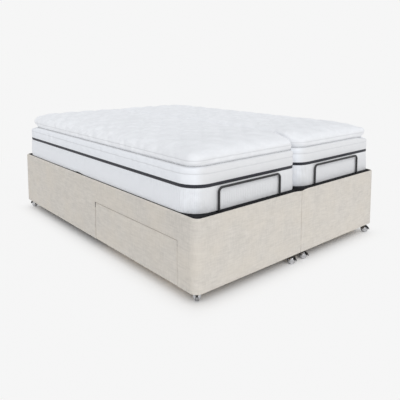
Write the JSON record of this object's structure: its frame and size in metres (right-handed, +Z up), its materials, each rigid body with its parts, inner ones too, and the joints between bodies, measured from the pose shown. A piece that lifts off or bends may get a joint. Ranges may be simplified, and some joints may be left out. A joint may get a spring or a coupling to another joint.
{
  "type": "adjustable bed",
  "caption": "King-size upholstered divan with two adjustable halves: lifting back and legs, side drawers, castors, retainer bars and pillow-top mattresses.",
  "frame": {"origin": "on the floor under the middle of the bed", "axes": "+Y from the foot end to the head end, +X to the right seen from the foot end, +Z up"},
  "size_m": [1.53, 2.0409, 0.7403],
  "materials": {
    "stone_fabric": "woven chenille upholstery",
    "border_fabric": "black non-slip border cloth",
    "mattress_fabric": "quilted white knit ticking",
    "deck_board": "board covered in black cloth",
    "timber": "planed softwood",
    "mechanism_steel": "black powder coat",
    "bar_steel": "satin black enamel",
    "zinc_steel": "bright zinc plate",
    "drive_plastic": "textured moulding",
    "motor_plastic": "smooth moulding",
    "pusher_plastic": "greased nylon",
    "castor_plastic": "black hood",
    "castor_chrome": "bright wheel caps"
  },
  "bodies": {
    "base": {"base_shell_left": "stone_fabric", "base_shell_right": "stone_fabric", "deck_borders": "border_fabric", "timber_frames": "timber", "castor_sockets": "zinc_steel", "link_bolts": "zinc_steel", "drawer_runners": "zinc_steel", "mechanism_frames": "mechanism_steel", "seat_boards": "deck_board", "drive_housings": "drive_plastic", "drive_motors": "motor_plastic", "mattress_seats": "mattress_fabric"},
    "back_left": {"back_board_left": "deck_board", "back_frame_left": "mechanism_steel", "mattress_back_left": "mattress_fabric"},
    "thigh_left": {"thigh_board_left": "deck_board", "thigh_frame_left": "mechanism_steel", "mattress_thigh_left": "mattress_fabric"},
    "calf_left": {"calf_board_left": "deck_board", "calf_frame_left": "mechanism_steel", "retainer_bar_left": "bar_steel", "mattress_calf_left": "mattress_fabric"},
    "back_lift_left": {"back_lift_arm_left": "mechanism_steel"},
    "leg_lift_left": {"leg_lift_arm_left": "mechanism_steel"},
    "back_push_left": {"back_pusher_left": "pusher_plastic"},
    "leg_push_left": {"leg_pusher_left": "pusher_plastic"},
    "drawer_left": {"drawer_front_left": "stone_fabric", "drawer_box_left": "timber"},
    "castor_left_foot_outer": {"castor_fork_left_foot_outer": "castor_plastic"},
    "wheels_left_foot_outer": {"castor_wheels_left_foot_outer": "castor_chrome"},
    "castor_left_foot_inner": {"castor_fork_left_foot_inner": "castor_plastic"},
    "wheels_left_foot_inner": {"castor_wheels_left_foot_inner": "castor_chrome"},
    "castor_left_head_outer": {"castor_fork_left_head_outer": "castor_plastic"},
    "wheels_left_head_outer": {"castor_wheels_left_head_outer": "castor_chrome"},
    "castor_left_head_inner": {"castor_fork_left_head_inner": "castor_plastic"},
    "wheels_left_head_inner": {"castor_wheels_left_head_inner": "castor_chrome"},
    "back_right": {"back_board_right": "deck_board", "back_frame_right": "mechanism_steel", "mattress_back_right": "mattress_fabric"},
    "thigh_right": {"thigh_board_right": "deck_board", "thigh_frame_right": "mechanism_steel", "mattress_thigh_right": "mattress_fabric"},
    "calf_right": {"calf_board_right": "deck_board", "calf_frame_right": "mechanism_steel", "retainer_bar_right": "bar_steel", "mattress_calf_right": "mattress_fabric"},
    "back_lift_right": {"back_lift_arm_right": "mechanism_steel"},
    "leg_lift_right": {"leg_lift_arm_right": "mechanism_steel"},
    "back_push_right": {"back_pusher_right": "pusher_plastic"},
    "leg_push_right": {"leg_pusher_right": "pusher_plastic"},
    "drawer_right": {"drawer_front_right": "stone_fabric", "drawer_box_right": "timber"},
    "castor_right_foot_outer": {"castor_fork_right_foot_outer": "castor_plastic"},
    "wheels_right_foot_outer": {"castor_wheels_right_foot_outer": "castor_chrome"},
    "castor_right_foot_inner": {"castor_fork_right_foot_inner": "castor_plastic"},
    "wheels_right_foot_inner": {"castor_wheels_right_foot_inner": "castor_chrome"},
    "castor_right_head_outer": {"castor_fork_right_head_outer": "castor_plastic"},
    "wheels_right_head_outer": {"castor_wheels_right_head_outer": "castor_chrome"},
    "castor_right_head_inner": {"castor_fork_right_head_inner": "castor_plastic"},
    "wheels_right_head_inner": {"castor_wheels_right_head_inner": "castor_chrome"}
  },
  "joints": [
    {"name": "back_hinge_left", "type": "hinge", "parent": "base", "child": "back_left", "pos_m": [-0.383, 0.215, 0.391], "axis": [1, 0, 0], "range_deg": [0, 55], "deforming": ["mattress_seats"]},
    {"name": "back_shaft_left", "type": "hinge", "parent": "base", "child": "back_lift_left", "pos_m": [-0.383, 0.415, 0.391], "axis": [1, 0, 0], "range_deg": [0, 110]},
    {"name": "back_spindle_left", "type": "slide", "parent": "base", "child": "back_push_left", "axis": [0, 1, 0], "range_m": [0, 0.0985]},
    {"name": "thigh_hinge_left", "type": "hinge", "parent": "base", "child": "thigh_left", "pos_m": [-0.383, -0.045, 0.391], "axis": [-1, 0, 0], "range_deg": [0, 30], "deforming": ["mattress_seats"]},
    {"name": "knee_hinge_left", "type": "hinge", "parent": "thigh_left", "child": "calf_left", "pos_m": [-0.383, -0.375, 0.391], "axis": [1, 0, 0], "range_deg": [0, 46.7]},
    {"name": "leg_shaft_left", "type": "hinge", "parent": "base", "child": "leg_lift_left", "pos_m": [-0.383, -0.175, 0.391], "axis": [-1, 0, 0], "range_deg": [0, 60]},
    {"name": "leg_spindle_left", "type": "slide", "parent": "base", "child": "leg_push_left", "axis": [0, -1, 0], "range_m": [0, 0.0602]},
    {"name": "drawer_slide_left", "type": "slide", "parent": "base", "child": "drawer_left", "axis": [-1, 0, 0], "range_m": [0, 0.38]},
    {"name": "swivel_left_foot_outer", "type": "hinge", "parent": "base", "child": "castor_left_foot_outer", "pos_m": [-0.713, -0.968, 0.08], "axis": [0, 0, 1], "continuous": true},
    {"name": "roll_left_foot_outer", "type": "hinge", "parent": "castor_left_foot_outer", "child": "wheels_left_foot_outer", "pos_m": [-0.69857, -0.9514, 0.023], "axis": [-0.7547, 0.6561, 0], "continuous": true},
    {"name": "swivel_left_foot_inner", "type": "hinge", "parent": "base", "child": "castor_left_foot_inner", "pos_m": [-0.053, -0.968, 0.08], "axis": [0, 0, 1], "continuous": true},
    {"name": "roll_left_foot_inner", "type": "hinge", "parent": "castor_left_foot_inner", "child": "wheels_left_foot_inner", "pos_m": [-0.0364, -0.98243, 0.023], "axis": [0.6561, 0.7547, 0], "continuous": true},
    {"name": "swivel_left_head_outer", "type": "hinge", "parent": "base", "child": "castor_left_head_outer", "pos_m": [-0.713, 0.968, 0.08], "axis": [0, 0, 1], "continuous": true},
    {"name": "roll_left_head_outer", "type": "hinge", "parent": "castor_left_head_outer", "child": "wheels_left_head_outer", "pos_m": [-0.71492, 0.98992, 0.023], "axis": [-0.9962, -0.0872, 0], "continuous": true},
    {"name": "swivel_left_head_inner", "type": "hinge", "parent": "base", "child": "castor_left_head_inner", "pos_m": [-0.053, 0.968, 0.08], "axis": [0, 0, 1], "continuous": true},
    {"name": "roll_left_head_inner", "type": "hinge", "parent": "castor_left_head_inner", "child": "wheels_left_head_inner", "pos_m": [-0.064, 0.94895, 0.023], "axis": [0.866, -0.5, 0], "continuous": true},
    {"name": "back_hinge_right", "type": "hinge", "parent": "base", "child": "back_right", "pos_m": [0.383, 0.215, 0.391], "axis": [1, 0, 0], "range_deg": [0, 55], "deforming": ["mattress_seats"]},
    {"name": "back_shaft_right", "type": "hinge", "parent": "base", "child": "back_lift_right", "pos_m": [0.383, 0.415, 0.391], "axis": [1, 0, 0], "range_deg": [0, 110]},
    {"name": "back_spindle_right", "type": "slide", "parent": "base", "child": "back_push_right", "axis": [0, 1, 0], "range_m": [0, 0.0985]},
    {"name": "thigh_hinge_right", "type": "hinge", "parent": "base", "child": "thigh_right", "pos_m": [0.383, -0.045, 0.391], "axis": [-1, 0, 0], "range_deg": [0, 30], "deforming": ["mattress_seats"]},
    {"name": "knee_hinge_right", "type": "hinge", "parent": "thigh_right", "child": "calf_right", "pos_m": [0.383, -0.375, 0.391], "axis": [1, 0, 0], "range_deg": [0, 46.7]},
    {"name": "leg_shaft_right", "type": "hinge", "parent": "base", "child": "leg_lift_right", "pos_m": [0.383, -0.175, 0.391], "axis": [-1, 0, 0], "range_deg": [0, 60]},
    {"name": "leg_spindle_right", "type": "slide", "parent": "base", "child": "leg_push_right", "axis": [0, -1, 0], "range_m": [0, 0.0602]},
    {"name": "drawer_slide_right", "type": "slide", "parent": "base", "child": "drawer_right", "axis": [1, 0, 0], "range_m": [0, 0.38]},
    {"name": "swivel_right_foot_outer", "type": "hinge", "parent": "base", "child": "castor_right_foot_outer", "pos_m": [0.713, -0.968, 0.08], "axis": [0, 0, 1], "continuous": true},
    {"name": "roll_right_foot_outer", "type": "hinge", "parent": "castor_right_foot_outer", "child": "wheels_right_foot_outer", "pos_m": [0.72882, -0.98328, 0.023], "axis": [0.6947, 0.7193, 0], "continuous": true},
    {"name": "swivel_right_foot_inner", "type": "hinge", "parent": "base", "child": "castor_right_foot_inner", "pos_m": [0.053, -0.968, 0.08], "axis": [0, 0, 1], "continuous": true},
    {"name": "roll_right_foot_inner", "type": "hinge", "parent": "castor_right_foot_inner", "child": "wheels_right_foot_inner", "pos_m": [0.0708, -0.98093, 0.023], "axis": [0.5878, 0.809, 0], "continuous": true},
    {"name": "swivel_right_head_outer", "type": "hinge", "parent": "base", "child": "castor_right_head_outer", "pos_m": [0.713, 0.968, 0.08], "axis": [0, 0, 1], "continuous": true},
    {"name": "roll_right_head_outer", "type": "hinge", "parent": "castor_right_head_outer", "child": "wheels_right_head_outer", "pos_m": [0.69498, 0.95538, 0.023], "axis": [0.5736, -0.8192, 0], "continuous": true},
    {"name": "swivel_right_head_inner", "type": "hinge", "parent": "base", "child": "castor_right_head_inner", "pos_m": [0.053, 0.968, 0.08], "axis": [0, 0, 1], "continuous": true},
    {"name": "roll_right_head_inner", "type": "hinge", "parent": "castor_right_head_inner", "child": "wheels_right_head_inner", "pos_m": [0.042, 0.98705, 0.023], "axis": [-0.866, -0.5, 0], "continuous": true}
  ],
  "couplings": [
    {"joint": "back_shaft_left", "follows": "back_hinge_left", "ratio": 2},
    {"joint": "back_spindle_left", "follows": "back_hinge_left", "m_per_rad": 0.1024},
    {"joint": "knee_hinge_left", "follows": "thigh_hinge_left", "ratio": 1.556},
    {"joint": "leg_shaft_left", "follows": "thigh_hinge_left", "ratio": 2},
    {"joint": "leg_spindle_left", "follows": "thigh_hinge_left", "m_per_rad": 0.1146},
    {"joint": "back_shaft_right", "follows": "back_hinge_right", "ratio": 2},
    {"joint": "back_spindle_right", "follows": "back_hinge_right", "m_per_rad": 0.1024},
    {"joint": "knee_hinge_right", "follows": "thigh_hinge_right", "ratio": 1.556},
    {"joint": "leg_shaft_right", "follows": "thigh_hinge_right", "ratio": 2},
    {"joint": "leg_spindle_right", "follows": "thigh_hinge_right", "m_per_rad": 0.1146}
  ]
}
